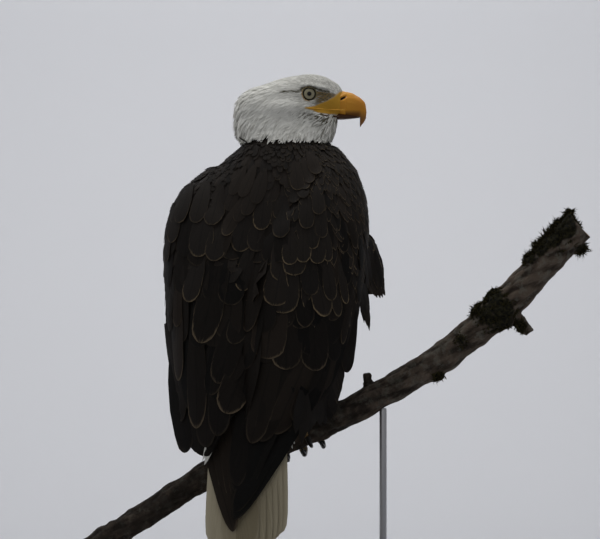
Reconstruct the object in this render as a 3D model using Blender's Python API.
"""Bald eagle, life size: a still display model that grips a cut length of branch.

The bird is perched and upright. Its body faces away and a little to +X, its head is turned
to look along +X, and its folded wings cross over the tail. A flat base and two short rods
hold the branch. The origin is the middle of the base's underside, +Z is up.
"""

import math

import bmesh
import bpy
from mathutils import Matrix, Vector

MM = 0.001
GAP = 0.3 * MM               # clearance between pieces that touch
HEADING = math.radians(15)   # the body's turn away from +Y, towards +X
BODY_X = -0.0545             # where the body's own axis stands on the base

# Trunk levels, and the outline at each: (height, distance from the body's axis), in metres.
TRUNK_LOW = 0.270
TRUNK_TOP = 0.742
TRUNK_SIDES = 24
TRUNK_LEVELS = 16
LEFT_REACH = ((0.225, 0.118), (0.268, 0.1285), (0.321, 0.1335), (0.397, 0.1485), (0.466, 0.158),
              (0.572, 0.161), (0.638, 0.149), (0.689, 0.112), (0.712, 0.073), (0.742, 0.033))
RIGHT_REACH = ((0.225, 0.110), (0.268, 0.115), (0.3275, 0.130), (0.397, 0.152), (0.456, 0.1665),
               (0.520, 0.180), (0.597, 0.184), (0.653, 0.178), (0.710, 0.157), (0.742, 0.129))
BACK_LINE = ((0.075, -0.178), (0.270, -0.125), (0.400, -0.108), (0.510, -0.088), (0.620, -0.062),
             (0.700, -0.034), (0.742, -0.012))
BREAST_LINE = ((0.225, 0.020), (0.330, 0.050), (0.400, 0.108), (0.500, 0.150), (0.600, 0.162),
               (0.680, 0.150), (0.742, 0.118))
AXIS_LINE = ((0.225, -0.035), (0.330, -0.020), (0.480, 0.020), (0.742, 0.050))

# Loose plume of the right flank: level, middle (x, y) and half sizes along X and Y.
FLANK_PLUME = ((0.606, 0.098, 0.068, 0.018, 0.018), (0.592, 0.106, 0.071, 0.026, 0.022),
               (0.577, 0.114, 0.072, 0.0295, 0.024), (0.545, 0.121, 0.072, 0.0305, 0.025),
               (0.515, 0.1255, 0.070, 0.030, 0.021), (0.497, 0.128, 0.068, 0.0285, 0.014),
               (0.489, 0.129, 0.066, 0.022, 0.007))

# Folded wings: their thickness at the side and over the back, by height.
WING_SIDE_DEPTH = ((0.225, 0.008), (0.300, 0.016), (0.400, 0.024), (0.520, 0.028), (0.640, 0.024),
                   (0.700, 0.012), (0.742, 0.004))
WING_BACK_DEPTH = ((0.225, 0.007), (0.300, 0.010), (0.420, 0.014), (0.540, 0.013), (0.640, 0.008),
                   (0.742, 0.003))
# How far round each wing reaches, in degrees from straight sideways: front edge and inner edge.
WING_FRONT_EDGE = ((0.225, -30.0), (0.320, -10.0), (0.400, 6.0), (0.500, 19.0), (0.580, 30.0),
                   (0.660, 40.0), (0.742, 34.0))
WING_INNER_EDGE = ((0.225, -87.0), (0.500, -86.0), (0.580, -76.0), (0.640, -62.0), (0.700, -40.0),
                   (0.742, -18.0))
EDGE_THICKNESS = 1.2 * MM
WING_BED = 3 * MM            # how far a wing's plate reaches below the body before it is cut back
COVERTS_END = 0.430          # where the coverts give way to the long secondaries

# Head: its middle, and sections from the nape to the face in millimetres from there:
# (forward, top, bottom, half width).
HEAD_AT = Vector((0.0132, 0.045, 0.8143))
HEAD_SECTIONS = ((-95, 0, -19, 9), (-88, 7, -29, 20), (-76, 17.5, -36, 29), (-58, 28.5, -40, 35),
                 (-37, 37.5, -41, 38.5), (-14, 43, -41, 40.5), (10, 44.5, -40, 40), (30, 43, -37.5, 36.5),
                 (46, 38, -35, 30), (57, 31.5, -33, 24.5), (65, 24, -31, 19.5), (68.5, 17, -29, 15.5))
# Neck: level, back edge, front edge (both along X) and half width.
NECK_SECTIONS = ((TRUNK_TOP + GAP, -0.084, 0.061, 0.060), (0.749, -0.090, 0.067, 0.059),
                 (0.757, -0.094, 0.0725, 0.0565), (0.770, -0.0972, 0.0775, 0.053),
                 (0.780, -0.0955, 0.0790, 0.050), (0.790, -0.090, 0.070, 0.046),
                 (0.802, -0.075, 0.045, 0.038), (0.812, -0.055, 0.020, 0.026))
PART_POINT = Vector((-0.009, 0.0, 0.788))    # the head and neck part on a plane through here
PART_TILT = math.radians(11.5)

# Bill: ridge point, cutting-edge point (forward, up) and half width, in millimetres.
BILL_SECTIONS = (((54, 19.5), (54, -18), 16.5), ((61, 19), (61, -18.4), 15.8),
                 ((69, 17), (68, -19), 15.0), ((76.5, 15), (75.5, -20.2), 14.0),
                 ((87, 10.8), (84.5, -21), 12.6), ((97, 3.2), (91, -22.3), 10.4),
                 ((104.5, -7), (95, -24.6), 8.0), ((109, -18.5), (97.4, -28.8), 5.6),
                 ((109, -29.5), (98.8, -34), 3.6), ((105.5, -37.5), (99.6, -38.6), 2.2),
                 ((101.6, -42.8), (100.6, -43), 0.9))
CERE_SECTIONS = 4            # the first sections of the bill belong to the cere
MANDIBLE_SECTIONS = (((30, -18.4), (30, -28), 12.5), ((48, -18.9), (48, -30), 12.2),
                     ((66, -20), (67, -30.6), 11.0), ((80, -21.6), (81, -30), 9.0),
                     ((89, -24.4), (90.5, -29), 6.2), ((94.5, -26.6), (94.8, -28.4), 2.2))
EYE_FORWARD = 15.3 * MM
EYE_UP = 10.7 * MM
EYE_OUT = 26.5 * MM
EYE_RADIUS = 12.5 * MM

# Wing tips and tail, in the body's frame: (height, across, half width), and their layers.
TIP_RIGHT = ((0.300, 0.045, 0.052), (0.266, 0.032, 0.046), (0.220, 0.020, 0.030),
             (0.170, 0.008, 0.0165), (0.140, 0.0005, 0.008), (0.130, -0.0015, 0.003))
TIP_LEFT = ((0.315, -0.048, 0.040), (0.266, -0.042, 0.042), (0.220, -0.030, 0.031),
            (0.160, -0.012, 0.022), (0.124, -0.0015, 0.011), (0.111, 0.003, 0.003))
TAIL = ((0.315, -0.004, 0.034), (0.270, 0.000, 0.052), (0.220, 0.002, 0.067), (0.150, 0.005, 0.068),
        (0.110, 0.0065, 0.063), (0.088, 0.008, 0.048), (0.077, 0.008, 0.018))
TAIL_COVERTS = ((0.345, -0.002, 0.040), (0.300, 0.000, 0.052), (0.255, 0.002, 0.052),
                (0.215, 0.004, 0.040), (0.190, 0.005, 0.016))
TIP_RIGHT_LAYER = (0.0078, 0.0065)    # depth under the wings' plates, and thickness
TIP_LEFT_LAYER = (0.0155, 0.0065)
TAIL_LAYER = (0.0255, 0.0110)
COVERTS_LAYER = (0.0480, 0.0300)
RUMP_RISE = 0.095
RUMP_DEPTH = 0.034           # how far the root of the tail lies under the wings' plates

# Branch: centre line (x, y, z) and radius, from its low end to its high end.
PERCH_LINE = (((-0.342, 0.020, 0.0665), 0.0215), ((-0.264, 0.012, 0.1150), 0.0215),
              ((-0.144, 0.002, 0.1935), 0.0225), ((-0.069, 0.000, 0.2330), 0.0240),
              ((0.013, -0.002, 0.2640), 0.0250), ((0.087, -0.006, 0.2970), 0.0245),
              ((0.153, -0.010, 0.3330), 0.0240), ((0.228, -0.016, 0.3770), 0.0245),
              ((0.299, -0.022, 0.4315), 0.0255), ((0.351, -0.026, 0.4775), 0.0290),
              ((0.400, -0.030, 0.5290), 0.0265), ((0.442, -0.034, 0.5750), 0.0260),
              ((0.472, -0.037, 0.6060), 0.0258))
PERCH_SIDES = 12
PERCH_STEPS = 28
STUB_BELOW = ((0.356, -0.026, 0.470), (0.391, -0.027, 0.430), 0.011)
STUB_ABOVE = ((0.127, -0.008, 0.325), (0.124, -0.008, 0.364), 0.008)

# Legs, in the body's frame: thigh (across, forward, up, radius) from hip to shank.
THIGH_RIGHT = ((0.070, 0.040, 0.450, 0.050), (0.076, 0.044, 0.405, 0.050), (0.078, 0.036, 0.362, 0.042),
               (0.075, 0.020, 0.328, 0.028), (0.073, 0.010, 0.314, 0.014))
THIGH_LEFT = ((-0.062, 0.040, 0.440, 0.050), (-0.062, 0.044, 0.380, 0.050), (-0.050, 0.034, 0.328, 0.040),
              (-0.044, 0.018, 0.290, 0.028), (-0.041, 0.008, 0.272, 0.015))
FOOT_RIGHT_X = 0.011
FOOT_LEFT_X = -0.092
SHANK_RADIUS = 9.0 * MM
# Toes: start and end angle round the branch, start and end offset along it, radius.
TOES = {"inner": (52, -52, -0.0172, -0.0290, 0.0078), "middle": (56, -76, 0.0, -0.0030, 0.0084),
        "outer": (52, -60, 0.0172, 0.0270, 0.0076), "hind": (128, 192, 0.0, 0.0120, 0.0084)}
CLAW_SWEEP = {"inner": -56, "middle": -52, "outer": -54, "hind": 60}

# Stand: a flat base and two rods under the branch.
BASE_SIZE = (0.400, 0.320, 0.018)
BASE_CORNER = 0.030
ROD_RADIUS = 0.006
ROD_SIDES = 12
ROD_FOOT_RADIUS = 0.017
ROD_FOOT_HEIGHT = 0.008
RODS = {"stand_rod_inner": -0.038, "stand_rod_outer": 0.150}

COLOURS = {  # name: (red, green, blue), roughness, metallic
    "white_plumage": ((0.80, 0.80, 0.76), 0.8, 0.0),
    "brown_plumage": ((0.030, 0.022, 0.016), 0.8, 0.0),
    "dark_plumage": ((0.012, 0.010, 0.009), 0.75, 0.0),
    "bill_horn": ((0.72, 0.33, 0.03), 0.4, 0.0),
    "cere_skin": ((0.75, 0.45, 0.06), 0.5, 0.0),
    "iris": ((0.66, 0.62, 0.34), 0.1, 0.0),
    "leg_skin": ((0.60, 0.40, 0.06), 0.55, 0.0),
    "claw_horn": ((0.010, 0.010, 0.010), 0.35, 0.0),
    "bark": ((0.060, 0.048, 0.038), 0.9, 0.0),
    "stand_wood": ((0.10, 0.045, 0.020), 0.45, 0.0),
    "stand_steel": ((0.30, 0.30, 0.31), 0.35, 1.0),
}


def along(points, at):
    """Value at a position on a smooth curve that doesn't overshoot its given points."""
    if at <= points[0][0]:
        return points[0][1]
    if at >= points[-1][0]:
        return points[-1][1]
    steps = [(b[0] - a[0], (b[1] - a[1]) / (b[0] - a[0])) for a, b in zip(points, points[1:])]
    k = next(i for i in range(len(steps)) if at <= points[i + 1][0])

    def slope(i):
        if i == 0 or i == len(points) - 1:
            return steps[min(i, len(steps) - 1)][1]
        before, after = steps[i - 1][1], steps[i][1]
        return 0.0 if before * after <= 0 else 2 * before * after / (before + after)

    width, _ = steps[k]
    t = (at - points[k][0]) / width
    low, high = points[k][1], points[k + 1][1]
    return ((2 * t ** 3 - 3 * t ** 2 + 1) * low + (t ** 3 - 2 * t ** 2 + t) * width * slope(k)
            + (3 * t ** 2 - 2 * t ** 3) * high + (t ** 3 - t ** 2) * width * slope(k + 1))


def spline(knots, t):
    """Catmull-Rom point through a list of vectors, t from 0 to 1 over the whole list."""
    last = len(knots) - 1
    k = min(int(t * last), last - 1)
    f = t * last - k
    p1, p2 = knots[k], knots[k + 1]
    p0 = knots[k - 1] if k > 0 else p1 * 2 - p2
    p3 = knots[k + 2] if k + 2 <= last else p2 * 2 - p1
    return (p1 * 2 + (p2 - p0) * f + (p0 * 2 - p1 * 5 + p2 * 4 - p3) * f ** 2
            + (p1 * 3 - p0 - p2 * 3 + p3) * f ** 3) * 0.5


def body_point(across, forward, up):
    """World point from the body's own directions: its right, its front and up."""
    c, s = math.cos(HEADING), math.sin(HEADING)
    return Vector((BODY_X + across * c + forward * s, forward * c - across * s, up))


def material(name):
    """Principled material with the part's colour, roughness and metallic value."""
    if name in bpy.data.materials:
        return bpy.data.materials[name]
    colour, roughness, metallic = COLOURS[name]
    made = bpy.data.materials.new(name)
    made.use_nodes = True
    shader = made.node_tree.nodes["Principled BSDF"]
    shader.inputs["Base Color"].default_value = (*colour, 1.0)
    shader.inputs["Roughness"].default_value = roughness
    shader.inputs["Metallic"].default_value = metallic
    made.diffuse_color = (*colour, 1.0)
    return made


def add_piece(name, build, finish):
    """New object from a bmesh, facing out, smooth but for its sharp edges."""
    bmesh.ops.remove_doubles(build, verts=build.verts, dist=0.00001)
    bmesh.ops.triangulate(build, faces=build.faces)
    bmesh.ops.recalc_face_normals(build, faces=build.faces)
    if build.calc_volume(signed=True) < 0:
        bmesh.ops.reverse_faces(build, faces=build.faces)
    mesh = bpy.data.meshes.new(name)
    build.to_mesh(mesh)
    build.free()
    mesh.shade_smooth()
    mesh.set_sharp_from_angle(angle=math.radians(40))
    mesh.materials.append(material(finish))
    piece = bpy.data.objects.new(name, mesh)
    bpy.context.collection.objects.link(piece)
    return piece


def loft(name, rings, finish):
    """Closed solid through a row of rings of equal length, with its ends fanned shut."""
    build = bmesh.new()
    rows = [[build.verts.new(point) for point in ring] for ring in rings]
    count = len(rows[0])
    for low, high in zip(rows, rows[1:]):
        for i in range(count):
            j = (i + 1) % count
            build.faces.new((low[i], low[j], high[j], high[i]))
    for row in (rows[0], rows[-1]):
        middle = build.verts.new(sum((v.co for v in row), Vector()) / count)
        for i in range(count):
            build.faces.new((row[i], row[(i + 1) % count], middle))
    return add_piece(name, build, finish)


def shell(name, outer, inner, finish):
    """Closed solid between two grids of points of equal size, walled all round its edge."""
    build = bmesh.new()
    grids = [[[build.verts.new(point) for point in row] for row in grid] for grid in (outer, inner)]
    for grid in grids:
        for low, high in zip(grid, grid[1:]):
            for i in range(len(low) - 1):
                build.faces.new((low[i], low[i + 1], high[i + 1], high[i]))
    rims = []
    for grid in grids:
        ends = [row[-1] for row in grid[1:-1]], [row[0] for row in grid[-2:0:-1]]
        rims.append(grid[0] + ends[0] + grid[-1][::-1] + ends[1])
    count = len(rims[0])
    for i in range(count):
        j = (i + 1) % count
        build.faces.new((rims[0][i], rims[0][j], rims[1][j], rims[1][i]))
    return add_piece(name, build, finish)


def tube(name, points, radii, sides, finish):
    """Closed tube along points, with a turned frame that doesn't twist and rounded ends."""
    tangents = []
    for i in range(len(points)):
        ahead = points[min(i + 1, len(points) - 1)]
        behind = points[max(i - 1, 0)]
        tangents.append((ahead - behind).normalized())
    side = tangents[0].orthogonal().normalized()
    rings = []
    for point, tangent, radius in zip(points, tangents, radii):
        side = (side - tangent * side.dot(tangent)).normalized()
        other = tangent.cross(side)
        rings.append([point + (side * math.cos(a) + other * math.sin(a)) * radius
                      for a in (2 * math.pi * k / sides for k in range(sides))])
    return loft(name, rings, finish)


def bake(piece):
    """Make the modifiers' result the object's own mesh, keeping its biggest body."""
    graph = bpy.context.evaluated_depsgraph_get()
    mesh = bpy.data.meshes.new_from_object(piece.evaluated_get(graph))
    piece.modifiers.clear()
    old = piece.data
    piece.data = mesh
    bpy.data.meshes.remove(old)
    mesh.name = piece.name
    build = bmesh.new()
    build.from_mesh(mesh)
    bmesh.ops.remove_doubles(build, verts=build.verts, dist=0.000002)
    drop_small_bodies(build)
    bmesh.ops.triangulate(build, faces=build.faces)
    build.to_mesh(mesh)
    build.free()


def drop_small_bodies(build):
    """Delete every connected body but the one with the most faces."""
    unseen = set(build.faces)
    bodies = []
    while unseen:
        front = [unseen.pop()]
        body = set(front)
        while front:
            face = front.pop()
            for edge in face.edges:
                for other in edge.link_faces:
                    if other in unseen:
                        unseen.discard(other)
                        body.add(other)
                        front.append(other)
        bodies.append(body)
    bodies.sort(key=len)
    spare = [face for body in bodies[:-1] for face in body]
    if spare:
        bmesh.ops.delete(build, geom=spare, context="FACES")


def swollen_copy(piece, by):
    """Copy of a piece grown outwards by a small distance, to cut its neighbours with."""
    copy = bpy.data.objects.new(piece.name + "_swollen", piece.data.copy())
    bpy.context.collection.objects.link(copy)
    normals = [vertex.normal.copy() for vertex in copy.data.vertices]
    for vertex, normal in zip(copy.data.vertices, normals):
        vertex.co += normal * by
    return copy


def combine(piece, other, operation):
    """Boolean of a piece with another object, settled into its mesh."""
    cut = piece.modifiers.new(operation.lower(), "BOOLEAN")
    cut.operation = operation
    cut.solver = "EXACT"
    cut.object = other
    bake(piece)


def carve(piece, *neighbours, by=1.3 * GAP):
    """Cut room for each neighbour out of a piece, with the gap that touching pieces keep."""
    for neighbour in neighbours:
        cutter = swollen_copy(neighbour, by)
        combine(piece, cutter, "DIFFERENCE")
        bpy.data.objects.remove(cutter)


def keep_side(piece, point, normal):
    """Keep the part of a closed piece that lies on the normal's side of a plane, capped."""
    build = bmesh.new()
    build.from_mesh(piece.data)
    everything = build.verts[:] + build.edges[:] + build.faces[:]
    bmesh.ops.bisect_plane(build, geom=everything, plane_co=point, plane_no=normal, clear_inner=True)
    rim = [edge for edge in build.edges if edge.is_boundary]
    bmesh.ops.holes_fill(build, edges=rim, sides=0)
    bmesh.ops.triangulate(build, faces=build.faces)
    bmesh.ops.recalc_face_normals(build, faces=build.faces)
    build.to_mesh(piece.data)
    build.free()


def half_axes(level):
    """The bare body's half axes at a height: left, right, back and front, and its middle."""
    middle = along(AXIS_LINE, level)
    back = middle - along(BACK_LINE, level)
    front = along(BREAST_LINE, level) - middle
    shift = middle * math.sin(HEADING)
    left = along(LEFT_REACH, level) + shift
    right = along(RIGHT_REACH, level) - shift
    left = math.sqrt(left ** 2 - (back * math.sin(HEADING)) ** 2) / math.cos(HEADING)
    right = math.sqrt(right ** 2 - (front * math.sin(HEADING)) ** 2) / math.cos(HEADING)
    side_depth, back_depth = along(WING_SIDE_DEPTH, level), along(WING_BACK_DEPTH, level)
    return left - side_depth, right - side_depth, back - back_depth, front, middle


def trunk_taper(level):
    """How the trunk narrows below the wings, down to the root of the tail."""
    share = min(1.0, max(0.0, (level - TRUNK_LOW) / 0.150))
    return 0.36 + 0.64 * math.sin(share * math.pi / 2)


def make_trunk():
    rings = []
    for k in range(TRUNK_LEVELS):
        share = k / (TRUNK_LEVELS - 1)
        level = TRUNK_LOW + (TRUNK_TOP - TRUNK_LOW) * share
        left, right, back, front, middle = half_axes(level)
        taper = trunk_taper(level)
        root = max(0.0, 1 - (level - TRUNK_LOW) / RUMP_RISE)
        rear = middle - back + RUMP_DEPTH * root ** 0.7
        belly = middle + front
        low_belly = min(belly, rear + 0.045 + (level - TRUNK_LOW) * 1.45)
        middle = (rear + low_belly) / 2 if low_belly < belly else middle
        back, front = middle - rear, low_belly - middle
        ring = []
        for i in range(TRUNK_SIDES):
            angle = 2 * math.pi * i / TRUNK_SIDES
            c, s = math.cos(angle), math.sin(angle)
            across = c * (right if c > 0 else left) * taper
            forward = middle + s * (front if s > 0 else back)
            ring.append(body_point(across, forward, level))
        rings.append(ring)
    return loft("trunk", rings, "brown_plumage")


def make_flank_plume():
    """Loose flank plumage that stands out beyond the right wing's front edge."""
    rings = [[Vector((x + half * math.cos(a), y + deep * math.sin(a), level))
              for a in (2 * math.pi * i / 12 for i in range(12))] for level, x, y, half, deep in FLANK_PLUME]
    return loft("flank_right", rings, "brown_plumage")


def wing_point(side, angle, level, depth):
    """Point over the bare body at an angle from sideways, raised by a depth."""
    left, right, back, front, middle = half_axes(level)
    reach = right if side > 0 else left
    c, s = math.cos(angle), math.sin(angle)
    ends = front if s > 0 else back
    return body_point(side * (reach + depth) * c, middle + (ends + depth) * s, level)


def make_wing_plate(name, side, top, bottom, rows, columns, finish):
    """Curved plate of a folded wing. Top and bottom are heights at the front, middle and back."""
    outer, inner = [], []
    for r in range(rows + 1):
        outer_row, inner_row = [], []
        for c in range(columns + 1):
            share = c / columns
            high = along(((0.0, top[0]), (0.5, top[1]), (1.0, top[2])), share)
            low = along(((0.0, bottom[0]), (0.5, bottom[1]), (1.0, bottom[2])), share)
            level = high + (low - high) * r / rows
            front = along(WING_FRONT_EDGE, level)
            rear = along(WING_INNER_EDGE, level)
            angle = math.radians(front + (rear - front) * share)
            over_back = math.sin(angle) ** 2 if angle < 0 else 0.0
            depth = (along(WING_SIDE_DEPTH, level) * (1 - over_back)
                     + along(WING_BACK_DEPTH, level) * over_back)
            edge = 1 - abs(2 * share - 1) ** 5 * (0.85 if share < 0.5 else 0.45)
            outer_row.append(wing_point(side, angle, level, max(depth * edge, 0.0022)))
            inner_row.append(wing_point(side, angle, level, -WING_BED))
        outer.append(outer_row)
        inner.append(inner_row)
    return shell(name, outer, inner, finish)


def under_wings(across, level, inset):
    """How far forward a point under the folded wings lies, on the curve of the back."""
    left, right, back, _, middle = half_axes(level)
    share = min(abs(across) / (right if across > 0 else left), 0.95)
    return middle - back * math.sqrt(1 - share ** 2) + inset


def make_blade(name, stations, layer, finish, columns=8, rows=9):
    """Thin tapering plate under the folded wings: a wing's tip, the tail or its coverts."""
    inset, thickness = layer
    top, bottom = stations[0][0], stations[-1][0]
    across_line = sorted((station[0], station[1]) for station in stations)
    width_line = sorted((station[0], station[2]) for station in stations)
    outer, inner = [], []
    for r in range(rows + 1):
        level = top + (bottom - top) * math.sin(r / rows * math.pi / 2) ** 0.9
        thick = thickness * (0.35 + 0.65 * (level - bottom) / (top - bottom)) / 2
        rows_here = [], []
        for c in range(columns + 1):
            share = 2 * c / columns - 1
            across = along(across_line, level) + along(width_line, level) * share
            lens = max(thick * math.sqrt(1 - share ** 2), EDGE_THICKNESS / 2)
            for row, face in zip(rows_here, (-lens, lens)):
                row.append(body_point(across, under_wings(across, level, inset) + face, level))
        outer.append(rows_here[0])
        inner.append(rows_here[1])
    return shell(name, outer, inner, finish)


def make_head_and_neck():
    sides = 16
    rings = []
    for forward, top, bottom, half in HEAD_SECTIONS:
        middle, tall = (top + bottom) / 2, (top - bottom) / 2
        rings.append([HEAD_AT + MM * Vector((forward, half * math.cos(a), middle + tall * math.sin(a)))
                      for a in (2 * math.pi * i / sides for i in range(sides))])
    head = loft("head", rings, "white_plumage")
    rings = []
    for level, rear, front, half in NECK_SECTIONS:
        middle, reach = (rear + front) / 2, (front - rear) / 2
        rings.append([Vector((middle + reach * math.cos(a), HEAD_AT.y + half * math.sin(a), level))
                      for a in (2 * math.pi * i / sides for i in range(sides))])
    neck = loft("neck", rings, "white_plumage")
    combine(head, neck, "UNION")
    neck.data = head.data.copy()
    up = Vector((math.sin(PART_TILT), 0.0, math.cos(PART_TILT)))
    keep_side(head, PART_POINT + up * GAP / 2, up)
    keep_side(neck, PART_POINT - up * GAP / 2, -up)
    return head, neck


def bill_rings(sections, sides=14, peak=0.82):
    """Rings of a bill, each from its ridge point to its cutting edge, narrower on the ridge."""
    rings = []
    for (ridge_x, ridge_z), (edge_x, edge_z), half in sections:
        ridge = HEAD_AT + MM * Vector((ridge_x, 0, ridge_z))
        edge = HEAD_AT + MM * Vector((edge_x, 0, edge_z))
        ring = []
        for i in range(sides):
            angle = 2 * math.pi * i / sides
            rise = (1 + math.sin(angle)) / 2
            width = half * math.cos(angle) * (1 - (1 - peak) * rise)
            ring.append(edge.lerp(ridge, rise) + Vector((0, width * MM, 0)))
        rings.append(ring)
    return rings


def make_bill():
    rings = bill_rings(BILL_SECTIONS)
    cere = loft("cere", rings[:CERE_SECTIONS], "cere_skin")
    step = Vector((GAP, 0, 0))
    rings = [[p + step for p in rings[CERE_SECTIONS - 1]]] + rings[CERE_SECTIONS:]
    upper = loft("bill_upper", rings, "bill_horn")
    lower = loft("bill_lower", bill_rings(MANDIBLE_SECTIONS, sides=12, peak=1.0), "bill_horn")
    carve(lower, cere, upper)
    return cere, upper, lower


def make_eyes():
    eyes = []
    for name, side in (("eye_right", -1), ("eye_left", 1)):
        build = bmesh.new()
        bmesh.ops.create_uvsphere(build, u_segments=12, v_segments=8, radius=EYE_RADIUS)
        bmesh.ops.rotate(build, verts=build.verts, cent=Vector(), matrix=Matrix.Rotation(math.pi / 2, 3, "X"))
        middle = HEAD_AT + Vector((EYE_FORWARD, side * EYE_OUT, EYE_UP))
        bmesh.ops.translate(build, verts=build.verts, vec=middle)
        eyes.append(add_piece(name, build, "iris"))
    return eyes


def perch_at(t):
    """Centre, radius and frame (along, far side, top) of the branch, t from 0 to 1."""
    knots = [Vector((*point, radius)) for point, radius in PERCH_LINE]
    here = spline(knots, t)
    ahead, behind = spline(knots, min(t + 0.01, 1.0)), spline(knots, max(t - 0.01, 0.0))
    tangent = (ahead - behind).to_3d().normalized()
    far = Vector((0, 0, 1)).cross(tangent).normalized()
    return here.to_3d(), here[3], tangent, far, tangent.cross(far)


def perch_share(x):
    """The share of the branch's length at which its centre passes a value of X."""
    low, high = 0.0, 1.0
    for _ in range(30):
        mid = (low + high) / 2
        low, high = (mid, high) if perch_at(mid)[0].x < x else (low, mid)
    return low


def make_perch():
    rings = []
    for k in range(PERCH_STEPS + 1):
        centre, radius, _, far, top = perch_at(k / PERCH_STEPS)
        rings.append([centre + (far * math.cos(a) + top * math.sin(a)) * radius
                      for a in (2 * math.pi * i / PERCH_SIDES for i in range(PERCH_SIDES))])
    perch = loft("perch", rings, "bark")
    for root, tip, radius in (STUB_BELOW, STUB_ABOVE):
        root, tip = Vector(root), Vector(tip)
        points = [root.lerp(tip, k / 3) for k in range(4)]
        stub = tube("stub", points, [radius * 1.2, radius * 1.1, radius, radius * 0.8], 8, "bark")
        combine(perch, stub, "UNION")
        bpy.data.objects.remove(stub)
    return perch


def wrap(x, offset, angle, clear):
    """Point round the branch: 90 degrees is its top, 0 the far side, 180 the near side."""
    centre, radius, _, far, top = perch_at(perch_share(x + offset))
    turn = math.radians(angle)
    return centre + (far * math.cos(turn) + top * math.sin(turn)) * (radius + clear)


def make_foot(side, x, thigh, perch, trunk):
    """Thigh, shank, four toes and their claws of one leg that grips the branch."""
    points = [body_point(*station[:3]) for station in thigh]
    knots = [Vector((*p, station[3])) for p, station in zip(points, thigh)]
    rows = [spline(knots, k / 7) for k in range(8)]
    leg = tube("thigh_" + side, [row.to_3d() for row in rows], [row[3] for row in rows], 10, "brown_plumage")
    pad = wrap(x, 0.0, 90, 0.0125)
    shin = points[-2]
    shank_points = [shin.lerp(pad, share) for share in (0.0, 0.3, 0.6, 0.85)] + [pad]
    shank_points.append(pad.lerp(wrap(x, 0.0, 90, 0.0), 0.65))
    radii = [SHANK_RADIUS * k for k in (1.0, 0.95, 0.95, 1.1, 1.45, 1.2)]
    shank = tube("shank_" + side, shank_points, radii, 10, "leg_skin")
    carve(shank, perch, trunk)
    carve(leg, shank)
    outwards = 1 if side == "right" else -1
    done = [shank, perch]
    for toe_name, (start, end, near, far, radius) in TOES.items():
        shares = [k / 6 for k in range(7)]
        path = [wrap(x, outwards * (near + (far - near) * t), start + (end - start) * t,
                     radius * (1.0 + 0.10 * math.cos(t * 6 * math.pi)) + 2 * GAP) for t in shares]
        girth = [radius * g for g in (0.92, 0.98, 0.86, 0.92, 0.82, 0.90, 0.62)]
        toe = tube(f"toe_{toe_name}_{side}", path, girth, 7, "leg_skin")
        carve(toe, *done)
        sweep = CLAW_SWEEP[toe_name]
        claw_path, claw_girth = [], []
        for t in (k / 4 for k in range(5)):
            angle = end + sweep * (0.06 + 0.94 * t)
            girth_here = 0.0050 * (1 - t) ** 0.8 + 0.0007
            lift = 0.0052 * (1 - t) + 0.006 * math.sin(t * math.pi) + 0.0012 + 2 * GAP
            claw_path.append(wrap(x, outwards * far, angle, lift))
            claw_girth.append(girth_here)
        claw = tube(f"claw_{toe_name}_{side}", claw_path, claw_girth, 6, "claw_horn")
        carve(claw, toe, perch)
        done += [toe, claw]
    return leg


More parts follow.
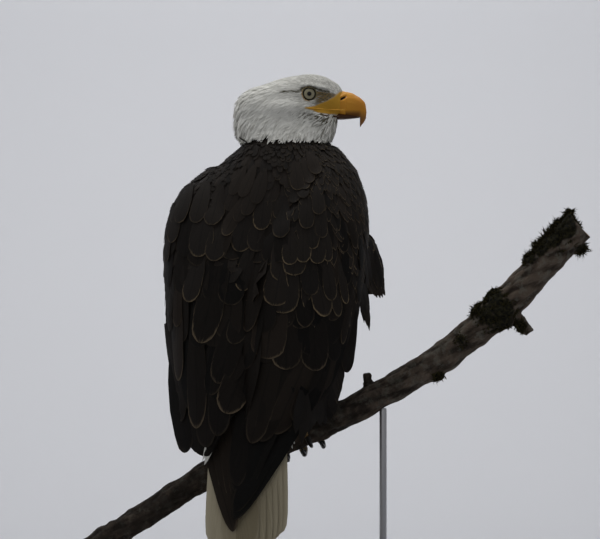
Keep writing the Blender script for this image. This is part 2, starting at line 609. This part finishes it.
def make_stand(perch):
    """Flat base with rounded corners, and rods that rise from small feet to the branch."""
    build = bmesh.new()
    bmesh.ops.create_cube(build, size=1.0)
    bmesh.ops.scale(build, verts=build.verts, vec=Vector(BASE_SIZE))
    bmesh.ops.translate(build, verts=build.verts, vec=Vector((0, 0, BASE_SIZE[2] / 2)))
    upright = [e for e in build.edges if abs(e.verts[0].co.z - e.verts[1].co.z) > BASE_SIZE[2] / 2]
    bmesh.ops.bevel(build, geom=upright, offset=BASE_CORNER, segments=5, profile=0.5, affect="EDGES")
    top = [e for e in build.edges if all(v.co.z > BASE_SIZE[2] * 0.9 for v in e.verts)]
    bmesh.ops.bevel(build, geom=top, offset=0.003, segments=2, profile=0.5, affect="EDGES")
    base = add_piece("stand_base", build, "stand_wood")
    for name, x in RODS.items():
        centre = perch_at(perch_share(x))[0]
        low = BASE_SIZE[2] + GAP
        levels = ((low, ROD_FOOT_RADIUS), (low + ROD_FOOT_HEIGHT * 0.6, ROD_FOOT_RADIUS),
                  (low + ROD_FOOT_HEIGHT, ROD_FOOT_RADIUS * 0.8),
                  (low + ROD_FOOT_HEIGHT, ROD_RADIUS), (centre.z, ROD_RADIUS))
        rings = [[Vector((x + r * math.cos(a), centre.y + r * math.sin(a), z))
                  for a in (2 * math.pi * i / ROD_SIDES for i in range(ROD_SIDES))] for z, r in levels]
        rod = loft(name, rings, "stand_steel")
        carve(rod, perch)
    return base


def main():
    for old in list(bpy.data.objects):
        bpy.data.objects.remove(old)

    trunk = make_trunk()
    head, neck = make_head_and_neck()
    cere, upper, lower = make_bill()
    carve(head, cere, upper, lower, *make_eyes())
    carve(cere, lower)

    tail = make_blade("tail", TAIL, TAIL_LAYER, "white_plumage")
    under = make_blade("tail_coverts", TAIL_COVERTS, COVERTS_LAYER, "white_plumage", rows=7)
    carve(tail, trunk)
    carve(under, trunk, tail)

    plates = []
    for side, sign in (("right", 1), ("left", -1)):
        top = (0.722, 0.738, 0.735) if sign > 0 else (0.700, 0.706, 0.706)
        split = (COVERTS_END + 0.02, COVERTS_END, COVERTS_END + 0.01)
        bottom = (0.335, 0.300, 0.262) if sign > 0 else (0.245, 0.228, 0.300)
        below = tuple(level - GAP for level in split)
        coverts = make_wing_plate(f"wing_{side}_coverts", sign, top, split, 8, 9, "brown_plumage")
        vanes = make_wing_plate(f"wing_{side}_secondaries", sign, below, bottom, 5, 9, "brown_plumage")
        carve(coverts, trunk)
        carve(vanes, trunk)
        plates += [coverts, vanes]
    carve(make_flank_plume(), trunk, plates[0])
    tips = [make_blade("wing_right_primaries", TIP_RIGHT, TIP_RIGHT_LAYER, "dark_plumage", rows=7),
            make_blade("wing_left_primaries", TIP_LEFT, TIP_LEFT_LAYER, "dark_plumage", rows=7)]
    carve(tips[0], trunk, *plates)
    carve(tips[1], trunk, tips[0], *plates)
    carve(tail, *tips, *plates)

    perch = make_perch()
    for side, x, thigh in (("right", FOOT_RIGHT_X, THIGH_RIGHT), ("left", FOOT_LEFT_X, THIGH_LEFT)):
        leg = make_foot(side, x, thigh, perch, trunk)
        carve(leg, trunk, perch, under, *plates)
    make_stand(perch)


main()
